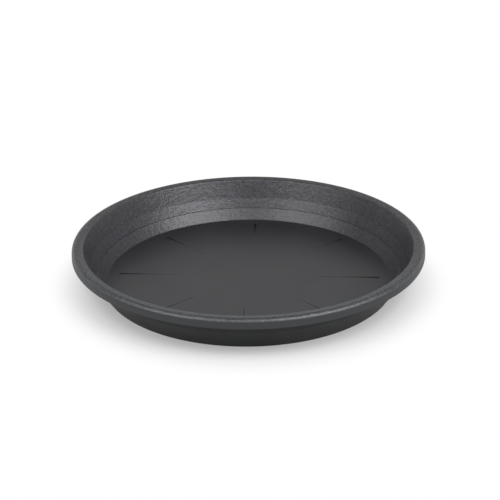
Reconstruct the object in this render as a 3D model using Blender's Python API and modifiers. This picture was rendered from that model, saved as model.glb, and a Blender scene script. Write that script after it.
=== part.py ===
"""Round plant saucer, moulded in one piece.

A flat floor with radial channels, a leaning wall of three bands with a ledge above the lowest one,
and a rim that rolls over into a skirt hanging clear of the wall. Metres, +Z up, the ground at Z = 0.
"""

import math

import bmesh
import bpy
from mathutils import Matrix, Vector

MM = 0.001

# Overall sizes
RIM_DIAMETER = 250.0 * MM  # over the lower edge of the skirt, the widest place
HEIGHT = 30.7 * MM  # from the ground to the top of the rim's roll

# Wall: how far each band leans out from upright, and how tall the lower two are
WALL_THICKNESS = 2.9 * MM
LOWER_BAND_LEAN = math.radians(34.5)
MIDDLE_BAND_LEAN = math.radians(29.0)
UPPER_BAND_LEAN = math.radians(23.4)
LOWER_BAND_HEIGHT = 7.7 * MM
MIDDLE_BAND_HEIGHT = 6.9 * MM
LEDGE_WIDTH = 0.9 * MM  # between the lower and middle bands

# Rim: a land that rises outwards and rolls over into the skirt
RIM_THICKNESS = 2.2 * MM
LAND_WIDTH = 7.8 * MM  # from the lip to the line of the skirt
LAND_RISE = math.radians(7.4)
SKIRT_DROP = 7.4 * MM
SKIRT_LEAN = math.radians(1.5)

# Floor, and the foot ring that holds it off the ground
FLOOR_THICKNESS = 1.9 * MM
FOOT_HEIGHT = 0.8 * MM
FOOT_WIDTH = 4.0 * MM
FLOOR_HEIGHT = FOOT_HEIGHT + FLOOR_THICKNESS  # from the ground to the upper face of the floor

# Channels in the floor, which deepen outwards to a blunt end
CHANNEL_COUNT = 8
CHANNEL_LENGTH = 42.0 * MM
CHANNEL_WIDTH = 2.4 * MM
CHANNEL_INNER_WIDTH = 1.2 * MM
CHANNEL_DEPTH = 1.0 * MM
CHANNEL_DRAFT = math.radians(25.0)
CHANNEL_MARGIN = 8.1 * MM  # from the blunt outer end to the foot of the wall
CUT_CLEARANCE = 0.3 * MM  # a cutter stands this far proud of the face that it cuts

# Rounded edges
FLOOR_FILLET = 0.5 * MM
LIP_ROUND = 1.6 * MM
ROLL_ROUND = 3.3 * MM  # over the outside of the rim
SKIRT_EDGE_ROUND = 0.5 * MM
UNDER_RIM_FILLET = 0.8 * MM
FOOT_ROUND = 0.5 * MM
SHARP = 0.0

# Fineness of the turned surface
TURN_STEPS = 80
ARC_STEP = math.radians(24.0)
MERGE_DISTANCE = 0.01 * MM

# Anthracite plastic, satin
PLASTIC_COLOUR = (0.074, 0.076, 0.083, 1.0)
PLASTIC_ROUGHNESS = 0.5


def clear_scene():
    for thing in list(bpy.data.objects):
        bpy.data.objects.remove(thing, do_unlink=True)


def collection_named(name):
    collection = bpy.data.collections.new(name)
    bpy.context.scene.collection.children.link(collection)
    return collection


def direction(angle):
    """Unit step in the profile plane, at an angle above the outward radius."""
    return Vector((math.cos(angle), math.sin(angle)))


def proud(radius, arriving, leaving, towards):
    """How far a sharp corner reaches past its rounded form, along the unit vector towards."""
    bisector = (arriving - leaving).normalized()
    half_turn = arriving.angle(leaving) / 2
    return radius * (bisector.dot(towards) / math.cos(half_turn) - 1)


def offset_line(start, end, thickness):
    """The line from start to end, moved to its right by a thickness."""
    along = (end - start).normalized()
    shift = Vector((along.y, -along.x)) * thickness
    return start + shift, end + shift


def meeting(first, second):
    """The point where two lines cross."""
    a, b = first
    c, d = second
    u = b - a
    v = d - c
    return a + u * ((c - a).cross(v) / u.cross(v))


def at_height(line, height):
    """The point of a line at a height."""
    a, b = line
    return a + (b - a) * ((height - a.y) / (b.y - a.y))


def rounded(corners):
    """The outline through (corner, radius) pairs, with an arc of that radius at each corner.

    Two arcs that meet the same side share its length by their radii.
    """
    outline = []
    for number, (corner, radius) in enumerate(corners):
        if radius == SHARP:
            outline.append(corner)
            continue
        before, before_radius = corners[number - 1]
        after, after_radius = corners[number + 1]
        back = before - corner
        ahead = after - corner
        back_room = back.length * radius / (radius + before_radius)
        ahead_room = ahead.length * radius / (radius + after_radius)
        back.normalize()
        ahead.normalize()
        half = back.angle(ahead) / 2
        radius = min(radius, min(back_room, ahead_room) * math.tan(half))
        centre = corner + (back + ahead).normalized() * (radius / math.sin(half))
        spoke = corner + back * (radius / math.tan(half)) - centre
        turn = math.copysign(math.pi - 2 * half, ahead.cross(back))
        pieces = math.ceil(abs(turn) / ARC_STEP)
        for piece in range(pieces + 1):
            outline.append(centre + Matrix.Rotation(turn * piece / pieces, 2) @ spoke)
    return outline


def show_face():
    """Corners of the face that shows, from the foot of the wall to the skirt's lower edge."""
    land = direction(LAND_RISE)
    skirt = direction(SKIRT_LEAN - math.pi / 2)
    roll_proud = proud(ROLL_ROUND, land, skirt, Vector((0, 1)))
    skirt_proud = proud(SKIRT_EDGE_ROUND, skirt, Vector((-1, 0)), Vector((1, 0)))
    skirt_edge_radius = RIM_DIAMETER / 2 + skirt_proud
    shoulder = Vector((skirt_edge_radius - SKIRT_DROP * math.tan(SKIRT_LEAN), HEIGHT + roll_proud))
    skirt_edge = Vector((skirt_edge_radius, shoulder.y - SKIRT_DROP))
    lip = shoulder - land * (LAND_WIDTH / land.x)
    ledge_height = FLOOR_HEIGHT + LOWER_BAND_HEIGHT
    bend_height = ledge_height + MIDDLE_BAND_HEIGHT
    bend = Vector((lip.x - (lip.y - bend_height) * math.tan(UPPER_BAND_LEAN), bend_height))
    ledge_back = Vector((bend.x - MIDDLE_BAND_HEIGHT * math.tan(MIDDLE_BAND_LEAN), ledge_height))
    ledge_edge = ledge_back - Vector((LEDGE_WIDTH, 0))
    wall_foot = Vector((ledge_edge.x - LOWER_BAND_HEIGHT * math.tan(LOWER_BAND_LEAN), FLOOR_HEIGHT))
    return {
        "wall_foot": wall_foot,
        "ledge_edge": ledge_edge,
        "ledge_back": ledge_back,
        "bend": bend,
        "lip": lip,
        "shoulder": shoulder,
        "skirt_edge": skirt_edge,
    }


def profile(face):
    """The whole section, from the axis over the rim and back to the axis under the floor."""
    lower_back = offset_line(face["wall_foot"], face["ledge_edge"], WALL_THICKNESS)
    middle_back = offset_line(face["ledge_back"], face["bend"], WALL_THICKNESS)
    upper_back = offset_line(face["bend"], face["lip"], WALL_THICKNESS)
    land_back = offset_line(face["lip"], face["shoulder"], RIM_THICKNESS)
    skirt_back = offset_line(face["shoulder"], face["skirt_edge"], RIM_THICKNESS)
    foot_edge = at_height(lower_back, 0.0)
    foot_inner = Vector((foot_edge.x - FOOT_WIDTH, 0.0))
    foot_root = foot_inner + Vector((-FOOT_HEIGHT, FOOT_HEIGHT))
    return rounded(
        [
            (Vector((0.0, FLOOR_HEIGHT)), SHARP),
            (face["wall_foot"], FLOOR_FILLET),
            (face["ledge_edge"], SHARP),
            (face["ledge_back"], SHARP),
            (face["bend"], SHARP),
            (face["lip"], LIP_ROUND),
            (face["shoulder"], ROLL_ROUND),
            (face["skirt_edge"], SKIRT_EDGE_ROUND),
            (at_height(skirt_back, face["skirt_edge"].y), SKIRT_EDGE_ROUND),
            (meeting(land_back, skirt_back), ROLL_ROUND - RIM_THICKNESS),
            (meeting(upper_back, land_back), UNDER_RIM_FILLET),
            (meeting(middle_back, upper_back), SHARP),
            (meeting(lower_back, middle_back), SHARP),
            (foot_edge, FOOT_ROUND),
            (foot_inner, SHARP),
            (foot_root, SHARP),
            (Vector((0.0, FOOT_HEIGHT)), SHARP),
        ]
    )


def turned(name, outline, collection):
    """A solid of revolution about Z from an outline of (radius, height) points."""
    mesh = bpy.data.meshes.new(name)
    shape = bmesh.new()
    points = [shape.verts.new((point.x, 0.0, point.y)) for point in outline]
    for start, end in zip(points, points[1:]):
        shape.edges.new((start, end))
    shape.to_mesh(mesh)
    shape.free()
    solid = bpy.data.objects.new(name, mesh)
    collection.objects.link(solid)
    screw = solid.modifiers.new("turn", "SCREW")
    screw.axis = "Z"
    screw.angle = 2 * math.pi
    screw.steps = TURN_STEPS
    screw.render_steps = TURN_STEPS
    screw.use_merge_vertices = True
    screw.merge_threshold = MERGE_DISTANCE
    screw.use_smooth_shade = True
    return solid


def wedge(name, collection, turn, span, half_width, bottom, top):
    """A tapered block along one radius: half_width(radius, height) and bottom(radius) give its sides."""
    mesh = bpy.data.meshes.new(name)
    shape = bmesh.new()
    bmesh.ops.create_cube(shape, size=1.0)
    for corner in shape.verts:
        radius = span[1] if corner.co.x > 0 else span[0]
        height = top if corner.co.z > 0 else bottom(radius)
        side = math.copysign(half_width(radius, height), corner.co.y)
        corner.co = (radius, side, height)
    shape.to_mesh(mesh)
    shape.free()
    block = bpy.data.objects.new(name, mesh)
    collection.objects.link(block)
    block.rotation_euler.z = turn
    block.hide_render = True
    block.display_type = "WIRE"


def channels(wall_foot_radius, cutters):
    """One cutter for each channel."""
    outer = wall_foot_radius - CHANNEL_MARGIN
    slope = CHANNEL_DEPTH / CHANNEL_LENGTH
    taper = (CHANNEL_WIDTH - CHANNEL_INNER_WIDTH) / CHANNEL_LENGTH / 2

    def bottom(radius):
        return FLOOR_HEIGHT - CHANNEL_DEPTH + (outer - radius) * slope

    def half_width(radius, height):
        below = FLOOR_HEIGHT - height
        return CHANNEL_WIDTH / 2 - (outer - radius) * taper - below * math.tan(CHANNEL_DRAFT)

    run_out = outer - CHANNEL_LENGTH - CUT_CLEARANCE / 2 / slope
    for number in range(CHANNEL_COUNT):
        wedge(
            f"channel_cutter_{number + 1}",
            cutters,
            2 * math.pi * number / CHANNEL_COUNT,
            (run_out, outer),
            half_width,
            bottom,
            FLOOR_HEIGHT + CUT_CLEARANCE,
        )


def cut(solid, cutters):
    """Take every cutter out of the solid."""
    boolean = solid.modifiers.new("cut channels", "BOOLEAN")
    boolean.operation = "DIFFERENCE"
    boolean.operand_type = "COLLECTION"
    boolean.collection = cutters
    boolean.solver = "EXACT"


def satin_plastic():
    material = bpy.data.materials.new("anthracite_plastic")
    material.use_nodes = True
    shader = material.node_tree.nodes["Principled BSDF"]
    shader.inputs["Base Color"].default_value = PLASTIC_COLOUR
    shader.inputs["Roughness"].default_value = PLASTIC_ROUGHNESS
    shader.inputs["Metallic"].default_value = 0.0
    return material


def build():
    clear_scene()
    parts = collection_named("plant_saucer")
    cutters = collection_named("channel_cutters")
    face = show_face()
    saucer = turned("saucer", profile(face), parts)
    channels(face["wall_foot"].x, cutters)
    cut(saucer, cutters)
    saucer.modifiers.new("crisp flats", "WEIGHTED_NORMAL")
    saucer.data.materials.append(satin_plastic())


build()
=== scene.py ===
import math

import bmesh
import bpy
from mathutils import Matrix, Quaternion, Vector


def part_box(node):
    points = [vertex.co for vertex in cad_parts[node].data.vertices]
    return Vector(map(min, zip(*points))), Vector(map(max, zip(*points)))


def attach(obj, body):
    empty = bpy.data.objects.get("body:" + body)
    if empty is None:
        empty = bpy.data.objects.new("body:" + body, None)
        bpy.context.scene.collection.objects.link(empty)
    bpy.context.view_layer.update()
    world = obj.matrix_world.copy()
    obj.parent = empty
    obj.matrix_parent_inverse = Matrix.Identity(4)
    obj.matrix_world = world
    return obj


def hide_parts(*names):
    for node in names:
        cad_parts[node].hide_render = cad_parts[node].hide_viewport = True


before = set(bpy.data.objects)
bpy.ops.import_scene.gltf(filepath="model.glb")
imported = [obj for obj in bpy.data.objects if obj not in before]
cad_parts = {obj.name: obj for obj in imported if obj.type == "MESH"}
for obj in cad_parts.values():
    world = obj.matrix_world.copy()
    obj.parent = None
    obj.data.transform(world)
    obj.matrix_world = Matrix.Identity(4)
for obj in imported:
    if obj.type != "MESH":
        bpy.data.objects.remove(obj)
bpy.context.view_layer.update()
mm = 0.001


def startClean():
    if bpy.context.mode != "OBJECT":
        bpy.ops.object.mode_set(mode="OBJECT")
    bpy.ops.object.select_all(action="DESELECT")


def pickOnly(thing):
    startClean()
    thing.select_set(True)
    bpy.context.view_layer.objects.active = thing


def selectVerts(thing, wanted):
    # edit mode: select the vertices that wanted(place) says yes to, and what lies between them
    bpy.ops.mesh.select_mode(type="VERT")
    bpy.ops.mesh.select_all(action="DESELECT")
    shape = bmesh.from_edit_mesh(thing.data)
    for vert in shape.verts:
        vert.select = wanted(vert.co)
    shape.select_flush_mode()
    bmesh.update_edit_mesh(thing.data)


def selectEdges(thing, wanted):
    # edit mode: select the edges that wanted(start, end) says yes to
    bpy.ops.mesh.select_mode(type="EDGE")
    bpy.ops.mesh.select_all(action="DESELECT")
    shape = bmesh.from_edit_mesh(thing.data)
    for edge in shape.edges:
        edge.select = wanted(edge.verts[0].co, edge.verts[1].co)
    bmesh.update_edit_mesh(thing.data)


def applyModifier(thing, kind, **settings):
    pickOnly(thing)
    modifier = thing.modifiers.new(kind.lower(), kind)
    for name, value in settings.items():
        setattr(modifier, name, value)
    bpy.ops.object.modifier_apply(modifier=modifier.name)


# the dish, lengths in mm and angles in degrees
dish = {
    "turns": 256,  # steps round the axis
    "arcStep": 9,  # a rounded corner turns at most this far at each step
    "wallThickness": 2.9,
    "lowerLean": 34.5, "lowerHeight": 7.7,
    "middleLean": 29.0, "middleHeight": 6.9,
    "upperLean": 23.4,
    "ledge": 0.9,  # between the lower and middle bands of the wall
    "rimThickness": 2.2,
    "landWidth": 7.8, "landRise": 7.4,  # top of the rim
    "skirtDrop": 7.4, "skirtLean": 1.5,
    "floorThickness": 1.9,
    "footHeight": 0.8, "footWidth": 4.0,
    "floorFillet": 0.5, "lipRound": 1.6, "rollRound": 3.3,
    "skirtEdgeRound": 0.5, "underRimFillet": 0.8, "footRound": 0.5, "footRootRound": 0.3,
    "ledgeRound": 0.12, "bendRound": 1.0,
    "plainMargin": 0.5,  # flat ring kept inside each rounded edge of the floor
    "mergeDistance": 0.002,  # corners nearer than this become one
    "sharpFrom": 32,  # an edge that turns further than this stays sharp
    "flatWeight": 90,  # how firmly large faces keep their own normals
}


# section of the dish, worked out in the (radius, height) plane in mm

def heading(angle):
    return Vector((math.cos(math.radians(angle)), math.sin(math.radians(angle))))


def leanOf(angle):
    # how far sideways for each mm up
    return math.tan(math.radians(angle))


def overshoot(radius, arriving, leaving, towards):
    # how far a sharp corner stands past its rounded form
    bisector = (arriving - leaving).normalized()
    return radius * (bisector.dot(towards) / math.cos(arriving.angle(leaving) / 2) - 1)


def backOf(start, end, thickness):
    along = (end - start).normalized()
    shift = Vector((along.y, -along.x)) * thickness
    return start + shift, end + shift


def crossing(first, second):
    along = first[1] - first[0]
    other = second[1] - second[0]
    return first[0] + along * ((second[0] - first[0]).cross(other) / along.cross(other))


def atHeight(line, height):
    return line[0] + (line[1] - line[0]) * ((height - line[0].y) / (line[1].y - line[0].y))


def roundCorners(corners):
    outline = []
    for number, (corner, radius) in enumerate(corners):
        if radius == 0:
            outline.append(corner)
            continue
        before, beforeRadius = corners[number - 1]
        after, afterRadius = corners[number + 1]
        back = before - corner
        ahead = after - corner
        # two arcs on the same side share its length by their radii
        backRoom = back.length * radius / (radius + beforeRadius)
        aheadRoom = ahead.length * radius / (radius + afterRadius)
        back.normalize()
        ahead.normalize()
        half = back.angle(ahead) / 2
        radius = min(radius, min(backRoom, aheadRoom) * math.tan(half))
        centre = corner + (back + ahead).normalized() * (radius / math.sin(half))
        spoke = corner + back * (radius / math.tan(half)) - centre
        turn = math.copysign(math.pi - 2 * half, ahead.cross(back))
        steps = math.ceil(abs(turn) / math.radians(dish["arcStep"]))
        for step in range(steps + 1):
            outline.append(centre + Matrix.Rotation(turn * step / steps, 2) @ spoke)
    return outline


def dishSection():
    low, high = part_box("saucer")
    rimRadius = (high.x - low.x) / 2 / mm
    height = high.z / mm
    floorTop = dish["footHeight"] + dish["floorThickness"]
    land = heading(dish["landRise"])
    skirtWay = heading(dish["skirtLean"] - 90)
    out = Vector((1, 0))
    up = Vector((0, 1))

    skirtRadius = rimRadius + overshoot(dish["skirtEdgeRound"], skirtWay, -out, out)
    shoulder = Vector((
        skirtRadius - dish["skirtDrop"] * leanOf(dish["skirtLean"]),
        height + overshoot(dish["rollRound"], land, skirtWay, up),
    ))
    skirtEdge = Vector((skirtRadius, shoulder.y - dish["skirtDrop"]))
    lip = shoulder - land * (dish["landWidth"] / land.x)

    # down the wall, band by band
    ledgeHeight = floorTop + dish["lowerHeight"]
    bendHeight = ledgeHeight + dish["middleHeight"]
    bend = Vector((lip.x - (lip.y - bendHeight) * leanOf(dish["upperLean"]), bendHeight))
    ledgeBack = Vector((bend.x - dish["middleHeight"] * leanOf(dish["middleLean"]), ledgeHeight))
    ledgeEdge = ledgeBack - out * dish["ledge"]
    wallFoot = Vector((ledgeEdge.x - dish["lowerHeight"] * leanOf(dish["lowerLean"]), floorTop))

    # the back of each face, a thickness away
    lowerBack = backOf(wallFoot, ledgeEdge, dish["wallThickness"])
    middleBack = backOf(ledgeBack, bend, dish["wallThickness"])
    upperBack = backOf(bend, lip, dish["wallThickness"])
    landBack = backOf(lip, shoulder, dish["rimThickness"])
    skirtBack = backOf(shoulder, skirtEdge, dish["rimThickness"])
    footEdge = atHeight(lowerBack, 0)
    footInner = footEdge - out * dish["footWidth"]
    footRoot = footInner + Vector((-dish["footHeight"], dish["footHeight"]))
    margin = out * dish["plainMargin"]
    section = roundCorners([
        (wallFoot - out * dish["floorFillet"] - margin, 0),
        (wallFoot, dish["floorFillet"]),
        (ledgeEdge, dish["ledgeRound"]),
        (ledgeBack, dish["ledgeRound"]),
        (bend, dish["bendRound"]),
        (lip, dish["lipRound"]),
        (shoulder, dish["rollRound"]),
        (skirtEdge, dish["skirtEdgeRound"]),
        (atHeight(skirtBack, skirtEdge.y), dish["skirtEdgeRound"]),
        (crossing(landBack, skirtBack), dish["rollRound"] - dish["rimThickness"]),
        (crossing(upperBack, landBack), dish["underRimFillet"]),
        (crossing(middleBack, upperBack), 0),
        (crossing(lowerBack, middleBack), 0),
        (footEdge, dish["footRound"]),
        (footInner, dish["footRootRound"]),
        (footRoot, dish["footRootRound"]),
        (footRoot - margin, 0),
    ])
    return section, wallFoot, lip, rimRadius


def turnDish(section):
    # a ring at the floor's edge, drawn up the wall, over the rim and back under to the floor
    startClean()
    first = section[0]
    bpy.ops.mesh.primitive_circle_add(
        vertices=dish["turns"], radius=first.x * mm, fill_type="NOTHING", location=(0, 0, first.y * mm)
    )
    piece = bpy.context.object
    piece.name = piece.data.name = "plant_saucer"
    bpy.ops.object.transform_apply(location=True, rotation=True, scale=True)
    bpy.ops.object.mode_set(mode="EDIT")
    bpy.ops.mesh.select_all(action="SELECT")
    for now, following in zip(section, section[1:]):
        rise = (following.y - now.y) * mm
        grow = following.x / now.x
        bpy.ops.mesh.extrude_region_move(TRANSFORM_OT_translate={"value": (0, 0, rise)})
        bpy.ops.transform.resize(value=(grow, grow, 1), center_override=(0, 0, 0))
    bpy.ops.mesh.edge_face_add()  # under the floor
    tiny = 0.02 * mm

    def onFirstRing(at):
        return abs(at.xy.length - first.x * mm) < tiny and abs(at.z - first.y * mm) < tiny

    selectVerts(piece, onFirstRing)
    bpy.ops.mesh.edge_face_add()  # upper face of the floor
    bpy.ops.mesh.select_all(action="SELECT")
    bpy.ops.mesh.normals_make_consistent(inside=False)
    bpy.ops.object.mode_set(mode="OBJECT")
    return piece


def smoothDish(piece):
    pickOnly(piece)
    bpy.ops.object.mode_set(mode="EDIT")
    bpy.ops.mesh.select_all(action="SELECT")
    bpy.ops.mesh.remove_doubles(threshold=dish["mergeDistance"] * mm)
    bpy.ops.mesh.normals_make_consistent(inside=False)
    bpy.ops.object.mode_set(mode="OBJECT")
    bpy.ops.object.shade_smooth_by_angle(angle=math.radians(dish["sharpFrom"]))
    applyModifier(piece, "WEIGHTED_NORMAL", mode="FACE_AREA", weight=dish["flatWeight"], keep_sharp=True)


# the eight grooves in the floor, in mm and degrees
groove = {
    "count": 8,
    "length": 42.0, "margin": 8.1,  # margin: blunt end to the foot of the wall
    "outerWidth": 2.4, "innerWidth": 1.2,
    "depth": 1.0, "draft": 25.0,
    "cornerRound": 0.2, "cornerSteps": 3,
    "clearance": 0.3,  # a cutter stands this far out of the floor
}


def grooveCutter(wallFoot):
    # a block along +X, deeper outwards, drawn in towards its bottom and rounded there
    outer = wallFoot.x - groove["margin"]
    outerBottom = wallFoot.y - groove["depth"]
    top = wallFoot.y + groove["clearance"]
    # it runs out of the floor near the middle
    fall = groove["depth"] / groove["length"]
    inner = outer - groove["length"] - groove["clearance"] / 2 / fall
    innerBottom = wallFoot.y + groove["clearance"] / 2
    innerWidth = groove["innerWidth"]
    outerWidth = groove["outerWidth"]
    middle = (inner + outer) / 2 * mm
    reach = 0.5  # m, the raw block above and below its middle
    justBelow = (top - 0.001) * mm

    startClean()
    bpy.ops.mesh.primitive_cube_add(size=2 * reach, location=(middle, 0, top * mm))
    cutter = bpy.context.object
    cutter.name = "grooveCutter"
    bpy.ops.object.mode_set(mode="EDIT")
    bpy.ops.mesh.select_all(action="SELECT")
    plan = ((outer - inner) * mm, outerWidth * mm, 1)
    bpy.ops.transform.resize(value=plan, center_override=cutter.location)
    bpy.ops.object.mode_set(mode="OBJECT")
    bpy.ops.object.transform_apply(location=True, rotation=True, scale=True)
    bpy.ops.object.mode_set(mode="EDIT")

    def settleBottom(outerEnd, width, height):
        # put the lower edge of one end at its width and height
        selectVerts(cutter, lambda at: (at.x > middle) == outerEnd and at.z < top * mm)
        pivot = (outer * mm if outerEnd else inner * mm, 0, top * mm)
        bpy.ops.transform.resize(value=(1, width / outerWidth, 1), center_override=pivot)
        bpy.ops.transform.translate(value=(0, 0, height * mm - (top * mm - reach)))

    narrowing = 2 * leanOf(groove["draft"])
    settleBottom(False, innerWidth - (top - innerBottom) * narrowing, innerBottom)
    settleBottom(True, outerWidth - (top - outerBottom) * narrowing, outerBottom)
    selectVerts(cutter, lambda at: at.z > top * mm + reach / 2)
    bpy.ops.transform.translate(value=(0, 0, -reach))
    selectVerts(cutter, lambda at: at.x < middle and at.z > justBelow)
    pivot = (inner * mm, 0, top * mm)
    bpy.ops.transform.resize(value=(1, innerWidth / outerWidth, 1), center_override=pivot)

    def atBottomOrEnd(start, end):
        bothLow = max(start.z, end.z) < justBelow
        lengthwise = abs(start.x - end.x) > 1 * mm
        upright = abs(start.z - end.z) > 0.01 * mm
        outerEnd = min(start.x, end.x) > middle
        return outerEnd and (bothLow or upright) or bothLow and lengthwise

    selectEdges(cutter, atBottomOrEnd)
    bpy.ops.mesh.bevel(offset=groove["cornerRound"] * mm, segments=groove["cornerSteps"], affect="EDGES")
    bpy.ops.mesh.select_all(action="SELECT")
    bpy.ops.mesh.normals_make_consistent(inside=False)
    bpy.ops.object.mode_set(mode="OBJECT")
    return cutter


def copyAround(cutter, count):
    # copies at even turns about the axis, joined as one object
    copies = [cutter]
    for number in range(1, count):
        pickOnly(cutter)
        bpy.ops.object.duplicate(linked=False)
        copy = bpy.context.object
        bpy.ops.object.mode_set(mode="EDIT")
        bpy.ops.mesh.select_all(action="SELECT")
        turn = 2 * math.pi * number / count
        bpy.ops.transform.rotate(value=turn, orient_axis="Z", center_override=(0, 0, 0))
        bpy.ops.object.mode_set(mode="OBJECT")
        copies.append(copy)
    startClean()
    for copy in copies:
        copy.select_set(True)
    bpy.context.view_layer.objects.active = cutter
    bpy.ops.object.join()
    return cutter


def cutGrooves(piece, wallFoot):
    cutters = copyAround(grooveCutter(wallFoot), groove["count"])
    applyModifier(piece, "BOOLEAN", operation="DIFFERENCE", solver="EXACT", object=cutters)
    bpy.data.objects.remove(cutters, do_unlink=True)
    print("grooves cut:", groove["count"])


def addNode(tree, kind, **settings):
    made = tree.nodes.new(kind)
    for name, value in settings.items():
        setattr(made, name, value)
    return made


def feed(tree, socket, value):
    # a number, a colour or what another node gives
    if isinstance(value, (int, float)):
        socket.default_value = value
    elif isinstance(value, tuple):
        socket.default_value = (*value, 1)
    else:
        tree.links.new(value, socket)


def mathNode(tree, operation, first, second):
    made = addNode(tree, "ShaderNodeMath", operation=operation)
    feed(tree, made.inputs[0], first)
    feed(tree, made.inputs[1], second)
    return made.outputs[0]


def ramp(tree, value, low, high, lowOut=0.0, highOut=1.0, smooth=False):
    made = addNode(tree, "ShaderNodeMapRange")
    made.interpolation_type = "SMOOTHSTEP" if smooth else "LINEAR"
    tree.links.new(value, made.inputs["Value"])
    for name, number in (("From Min", low), ("From Max", high), ("To Min", lowOut), ("To Max", highOut)):
        made.inputs[name].default_value = number
    return made.outputs["Result"]


def mixValue(tree, factor, first, second):
    made = addNode(tree, "ShaderNodeMix", data_type="FLOAT")
    for number, value in ((0, factor), (2, first), (3, second)):
        feed(tree, made.inputs[number], value)
    return made.outputs[0]


def mixColour(tree, factor, first, second):
    made = addNode(tree, "ShaderNodeMix", data_type="RGBA")
    for number, value in ((0, factor), (6, first), (7, second)):
        feed(tree, made.inputs[number], value)
    return made.outputs[2]


def noise(tree, place, size, detail, roughness=0.5):
    # size in mm
    made = addNode(tree, "ShaderNodeTexNoise")
    tree.links.new(place, made.inputs["Vector"])
    made.inputs["Scale"].default_value = 1 / (size * mm)
    made.inputs["Detail"].default_value = detail
    made.inputs["Roughness"].default_value = roughness
    return made.outputs["Fac"]


def swing(tree, noisy, around, reach):
    # most of a noise lies from 0.3 to 0.7, which is spread to reach either side of a value
    return ramp(tree, noisy, 0.3, 0.7, around - reach, around + reach)


def fromAxis(tree, place):
    flat = addNode(tree, "ShaderNodeVectorMath", operation="MULTIPLY")
    tree.links.new(place, flat.inputs[0])
    flat.inputs[1].default_value = (1, 1, 0)
    length = addNode(tree, "ShaderNodeVectorMath", operation="LENGTH")
    tree.links.new(flat.outputs["Vector"], length.inputs[0])
    return length.outputs["Value"]


def newPlastic(name):
    material = bpy.data.materials.new(name)
    material.use_nodes = True
    tree = material.node_tree
    place = addNode(tree, "ShaderNodeTexCoord").outputs["Object"]
    return material, tree, tree.nodes["Principled BSDF"], place


def bumpUp(tree, shader, height, distance):
    # distance in mm
    bump = addNode(tree, "ShaderNodeBump")
    bump.inputs["Strength"].default_value = 1
    bump.inputs["Distance"].default_value = distance * mm
    tree.links.new(height, bump.inputs["Height"])
    tree.links.new(bump.outputs["Normal"], shader.inputs["Normal"])


def colourIn(tree, shader, colour, value):
    tone = addNode(tree, "ShaderNodeHueSaturation")
    tree.links.new(value, tone.inputs["Value"])
    feed(tree, tone.inputs["Color"], colour)
    tree.links.new(tone.outputs["Color"], shader.inputs["Base Color"])


# satin finish of the inside and the rim, with a far darker painted-shade colour on the skirt, lengths in
# mm
plastic = {
    "floorColour": (0.0182, 0.019, 0.0202), "floorRoughness": 0.34,
    "wallColour": (0.0238, 0.0217, 0.0268), "wallRoughness": 0.4,
    "rimColour": (0.0345, 0.0362, 0.0372), "rimRoughness": 0.43,
    # the skirt's colour is painted shade: far darker than the rim it belongs to, standing in for the shade
    # on the outer side
    "skirtShadeColour": (0.003, 0.0042, 0.0055), "skirtRoughness": 0.55,
    "wallBlend": (0.4, 0.3), "rimBlend": (0.3, 0.3), "skirtBlend": (0.6, -0.2),  # inside and past the edge
    "specular": 0.8,
    "gloss": (0.955, 0.96, 1.0),  # tint of the reflections
    "grainSize": 0.75, "grainHeight": 0.13,
    "coarseSize": 3.0, "coarseShare": 2.0,  # unevenness under the fine grain
    "smoothGrain": 0.06,  # share of the grain left on the floor and the skirt
    "mottle": 0.6, "mottleSize": 1.8,  # share by which the grain lightens and darkens the colour
    "fleckColour": (0.09, 0.087, 0.095),
    "fleckSpacing": 2.2, "fleckCore": 0.12, "fleckEdge": 0.26,  # core and edge as shares of the spacing
    "fleckRarity": 0.84,
    "cloudSize": 28, "cloudTone": 0.07, "cloudRoughness": 0.03,
}


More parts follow.
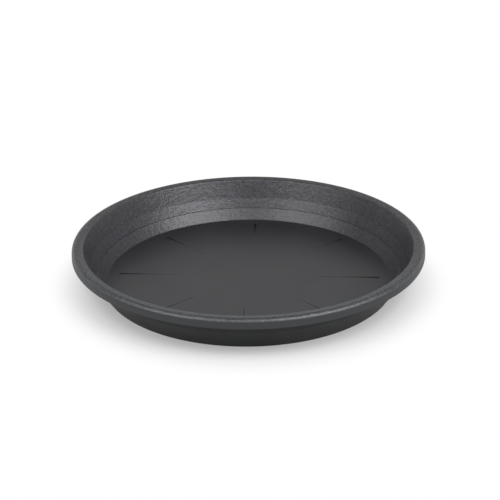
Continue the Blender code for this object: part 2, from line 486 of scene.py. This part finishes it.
def insidePlastic(wallFoot, lip, rimRadius):
    material, tree, shader, place = newPlastic("anthraciteInside")

    # the floor and the skirt are smooth, the wall and the rim are grained
    radius = fromAxis(tree, place)

    def outFrom(edge, blend):
        inside, past = blend
        return ramp(tree, radius, (edge - inside) * mm, (edge + past) * mm, smooth=True)

    upTheWall = outFrom(wallFoot.x, plastic["wallBlend"])
    onRim = outFrom(lip.x, plastic["rimBlend"])
    skirt = outFrom(rimRadius, plastic["skirtBlend"])
    grained = mathNode(tree, "MULTIPLY", upTheWall, mathNode(tree, "SUBTRACT", 1, skirt))

    # spark grain: fine pits over a coarser unevenness
    fine = noise(tree, place, plastic["grainSize"], detail=3, roughness=0.6)
    coarse = noise(tree, place, plastic["coarseSize"], detail=2)
    pits = mathNode(tree, "ADD", fine, mathNode(tree, "MULTIPLY", coarse, plastic["coarseShare"]))
    height = mathNode(tree, "MULTIPLY", pits, ramp(tree, grained, 0, 1, plastic["smoothGrain"], 1))
    bumpUp(tree, shader, height, plastic["grainHeight"])

    # light flecks scattered over the grained faces
    cells = addNode(tree, "ShaderNodeTexVoronoi")
    tree.links.new(place, cells.inputs["Vector"])
    cells.inputs["Scale"].default_value = 1 / (plastic["fleckSpacing"] * mm)
    chance = addNode(tree, "ShaderNodeSeparateColor")
    tree.links.new(cells.outputs["Color"], chance.inputs["Color"])
    dot = ramp(tree, cells.outputs["Distance"], plastic["fleckCore"], plastic["fleckEdge"], 1, 0)
    chosen = ramp(tree, chance.outputs["Red"], plastic["fleckRarity"], 1)
    fleck = mathNode(tree, "MULTIPLY", mathNode(tree, "MULTIPLY", dot, chosen), grained)

    # colour: slow cloudiness in the moulding, mottled where it is grained
    cloud = noise(tree, place, plastic["cloudSize"], detail=3)
    mottle = noise(tree, place, plastic["mottleSize"], detail=2)
    mottled = swing(tree, mottle, 1, plastic["mottle"])
    clouded = swing(tree, cloud, 1, plastic["cloudTone"])
    value = mathNode(tree, "MULTIPLY", clouded, mixValue(tree, grained, 1, mottled))
    base = mixColour(tree, upTheWall, plastic["floorColour"], plastic["wallColour"])
    base = mixColour(tree, onRim, base, plastic["rimColour"])
    # painted shade: the skirt takes the far darker colour
    base = mixColour(tree, skirt, base, plastic["skirtShadeColour"])
    colourIn(tree, shader, mixColour(tree, fleck, base, plastic["fleckColour"]), value)

    # roughness drifts a little with the cloudiness
    rough = mixValue(tree, upTheWall, plastic["floorRoughness"], plastic["wallRoughness"])
    rough = mixValue(tree, onRim, rough, plastic["rimRoughness"])
    rough = mixValue(tree, skirt, rough, plastic["skirtRoughness"])
    drift = swing(tree, cloud, 0, plastic["cloudRoughness"])
    tree.links.new(mathNode(tree, "ADD", rough, drift), shader.inputs["Roughness"])
    shader.inputs["Specular IOR Level"].default_value = plastic["specular"]
    shader.inputs["Specular Tint"].default_value = (*plastic["gloss"], 1)
    return material


# duller finish of the outside below the rim and of the underside, with a far darker colour that is painted
# shade, lengths in mm
outside = {
    # painted shade: a colour far darker than the inside, for the shade on the down-facing outside
    "colour": (0.0035, 0.0042, 0.005),
    "roughness": 0.55,
    "specular": 0.34,
    "grainSize": 0.9, "grainHeight": 0.02,
    "cloudSize": 28, "cloudTone": 0.1, "cloudRoughness": 0.04,
}


def outsideShadePlastic():
    material, tree, shader, place = newPlastic("anthraciteOutsidePaintedShade")
    grain = noise(tree, place, outside["grainSize"], detail=3, roughness=0.6)
    bumpUp(tree, shader, grain, outside["grainHeight"])
    cloud = noise(tree, place, outside["cloudSize"], detail=3)
    # the darkened colour is painted shade on the faces that point down
    colourIn(tree, shader, outside["colour"], swing(tree, cloud, 1, outside["cloudTone"]))
    rough = swing(tree, cloud, outside["roughness"], outside["cloudRoughness"])
    tree.links.new(rough, shader.inputs["Roughness"])
    shader.inputs["Specular IOR Level"].default_value = outside["specular"]
    return material


# matt finish of the grooves with painted shade, darker towards their deep ends
grooveMattAndShade = {
    "shallowGrooveShade": (0.05, 0.0505, 0.0525),
    "deepGrooveShade": (0.0125, 0.0125, 0.013),
    "roughness": 0.85,
    "specular": 0.1,
    "fadeFrom": 0.3,  # share of the length from the inner end
}


def grooveShadePlastic(wallFoot):
    material, tree, shader, place = newPlastic("anthraciteGroovePaintedShade")
    # painted shade: the colour darkens along each groove towards its deep outer end
    outer = wallFoot.x - groove["margin"]
    fadeStart = outer - groove["length"] * (1 - grooveMattAndShade["fadeFrom"])
    outwards = ramp(tree, fromAxis(tree, place), fadeStart * mm, outer * mm)
    colour = mixColour(tree, outwards, grooveMattAndShade["shallowGrooveShade"], grooveMattAndShade["deepGrooveShade"])
    tree.links.new(colour, shader.inputs["Base Color"])
    shader.inputs["Roughness"].default_value = grooveMattAndShade["roughness"]
    shader.inputs["Specular IOR Level"].default_value = grooveMattAndShade["specular"]
    return material


# which faces are outside (they face down and take painted shade) and which are in a groove (painted shade
# too), the rest are inside
sorting = {
    "downwards": -0.05,  # a normal that points further down than this
    "sunk": 0.005,  # mm below the floor
}


def finishDish(piece, wallFoot, lip, rimRadius):
    piece.data.materials.clear()
    piece.data.materials.append(insidePlastic(wallFoot, lip, rimRadius))
    piece.data.materials.append(outsideShadePlastic())
    piece.data.materials.append(grooveShadePlastic(wallFoot))
    for face in piece.data.polygons:
        # faces that point down take the outside's painted shade
        if face.normal.z < sorting["downwards"]:
            face.material_index = 1  # outside
        # faces sunk below the floor take the grooves' painted shade
        elif face.center.z < (wallFoot.y - sorting["sunk"]) * mm:
            face.material_index = 2  # in a groove


section, wallFoot, lip, rimRadius = dishSection()
saucer = turnDish(section)
print("dish turned:", len(section), "rings of", dish["turns"])
cutGrooves(saucer, wallFoot)
smoothDish(saucer)
finishDish(saucer, wallFoot, lip, rimRadius)
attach(saucer, "root")
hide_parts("saucer")
print("saucer finished:", len(saucer.data.polygons), "faces")

# plain pale floor under a white surround
stage = {
    "size": 12.0,  # m
    "colour": (0.55, 0.55, 0.55),
    "shownWhite": 0.3,  # share of plain white near the saucer, the rest is lit and shaded
    "fadeFrom": 0.104, "fadeTo": 0.145,  # m from the axis
}


def seenDirectly(tree):
    # 1 for camera, glossy and transmission rays
    path = addNode(tree, "ShaderNodeLightPath")
    either = mathNode(tree, "MAXIMUM", path.outputs["Is Camera Ray"], path.outputs["Is Glossy Ray"])
    return mathNode(tree, "MAXIMUM", either, path.outputs["Is Transmission Ray"])


def paleFloor():
    startClean()
    bpy.ops.mesh.primitive_plane_add(size=stage["size"], location=(0, 0, 0))
    floor = bpy.context.object
    floor.name = "studioFloor"
    material = bpy.data.materials.new("paleFloor")
    material.use_nodes = True
    tree = material.node_tree
    shader = tree.nodes["Principled BSDF"]
    shader.inputs["Base Color"].default_value = (*stage["colour"], 1)
    shader.inputs["Roughness"].default_value = 1
    shader.inputs["Specular IOR Level"].default_value = 0
    white = addNode(tree, "ShaderNodeEmission")
    place = addNode(tree, "ShaderNodeTexCoord").outputs["Object"]
    length = addNode(tree, "ShaderNodeVectorMath", operation="LENGTH")
    tree.links.new(place, length.inputs[0])
    far = length.outputs["Value"]
    share = ramp(tree, far, stage["fadeFrom"], stage["fadeTo"], stage["shownWhite"], 1, smooth=True)
    mixed = addNode(tree, "ShaderNodeMixShader")
    tree.links.new(mathNode(tree, "MULTIPLY", share, seenDirectly(tree)), mixed.inputs["Fac"])
    tree.links.new(shader.outputs["BSDF"], mixed.inputs[1])
    tree.links.new(white.outputs["Emission"], mixed.inputs[2])
    tree.links.new(mixed.outputs["Shader"], tree.nodes["Material Output"].inputs["Surface"])
    floor.data.materials.append(material)


# brightness of the surround: white at the horizon, a pale wall behind, a dim room in front and overhead
surround = {
    "horizon": 1.0, "horizonTo": 5, "wallFrom": 10,  # degrees above the horizon
    "behind": 0.6, "inFront": 0.22, "wallTo": 20,
    "upperBehind": 0.47, "upperInFront": 0.12, "upperFrom": 26, "upperTo": 40,
    "overhead": 0.08, "overheadFrom": 50,
    "sideFade": 0.3,  # front turns into back this far either side of square
}


def whiteSurround():
    world = bpy.data.worlds.new("surround")
    bpy.context.scene.world = world
    world.use_nodes = True
    tree = world.node_tree
    way = addNode(tree, "ShaderNodeSeparateXYZ")
    tree.links.new(addNode(tree, "ShaderNodeTexCoord").outputs["Generated"], way.inputs["Vector"])

    def rise(name):
        return math.sin(math.radians(surround[name]))

    def below(low, high):
        # 1 up to one angle above the horizon, 0 from another
        return ramp(tree, way.outputs["Z"], rise(low), rise(high), 1, 0, smooth=True)

    def frontToBack(front, back):
        fade = surround["sideFade"]
        return ramp(tree, way.outputs["Y"], -fade, fade, surround[front], surround[back], smooth=True)

    lower = frontToBack("inFront", "behind")
    upper = frontToBack("upperInFront", "upperBehind")
    strength = mixValue(tree, below("upperTo", "overheadFrom"), surround["overhead"], upper)
    strength = mixValue(tree, below("wallTo", "upperFrom"), strength, lower)
    strength = mixValue(tree, below("horizonTo", "wallFrom"), strength, surround["horizon"])
    tree.links.new(strength, tree.nodes["Background"].inputs["Strength"])
    tree.nodes["Background"].inputs["Color"].default_value = (1, 1, 1, 1)


def wayTo(azimuth, elevation):
    # azimuth from the front towards +X, in degrees
    turn = math.radians(azimuth)
    lift = math.radians(elevation)
    return Vector((math.sin(turn) * math.cos(lift), -math.cos(turn) * math.cos(lift), math.sin(lift)))


# soft boxes, alike but for where they stand and how strong they are
softBoxes = {
    "elevation": 46, "distance": 1.4,  # degrees, m
    "width": 1.0, "height": 0.85,  # m
    "keyRight": {"azimuth": 54, "power": 17.6},
    "fillLeft": {"azimuth": -46, "power": 11.8},
}


def softBox(name):
    way = wayTo(softBoxes[name]["azimuth"], softBoxes["elevation"])
    startClean()
    bpy.ops.object.light_add(type="AREA", location=way * softBoxes["distance"])
    lamp = bpy.context.object
    lamp.name = name
    lamp.rotation_euler = way.to_track_quat("Z", "Y").to_euler()
    lamp.data.shape = "RECTANGLE"
    lamp.data.size = softBoxes["width"]
    lamp.data.size_y = softBoxes["height"]
    lamp.data.energy = softBoxes[name]["power"]


# the view of the photograph
view = {
    "lens": 105.22, "sensor": 36,  # mm
    "distance": 1.0498,  # m from the middle of the foot
    "azimuth": 3.4, "elevation": 25.52, "roll": -0.563,
    "aimSide": 0.00111, "aimHeight": 0.02271,  # m, point on the axis plane that the view centres on
    "nearest": 0.01,  # m
}


def photoCamera():
    turn = math.radians(view["azimuth"])
    side = Vector((math.cos(turn), math.sin(turn), 0))
    eye = wayTo(view["azimuth"], view["elevation"]) * view["distance"]
    aim = side * view["aimSide"] + Vector((0, 0, view["aimHeight"]))
    startClean()
    bpy.ops.object.camera_add(location=eye)
    camera = bpy.context.object
    camera.rotation_mode = "QUATERNION"
    level = (aim - eye).to_track_quat("-Z", "Y")
    camera.rotation_quaternion = level @ Quaternion((0, 0, 1), math.radians(view["roll"]))
    camera.data.lens = view["lens"]
    camera.data.sensor_width = view["sensor"]
    camera.data.clip_start = view["nearest"]
    bpy.context.scene.camera = camera


paleFloor()
whiteSurround()
softBox("keyRight")
softBox("fillLeft")
photoCamera()
bpy.context.scene.view_settings.view_transform = "Standard"
print("studio set: floor, surround, two soft boxes and camera")
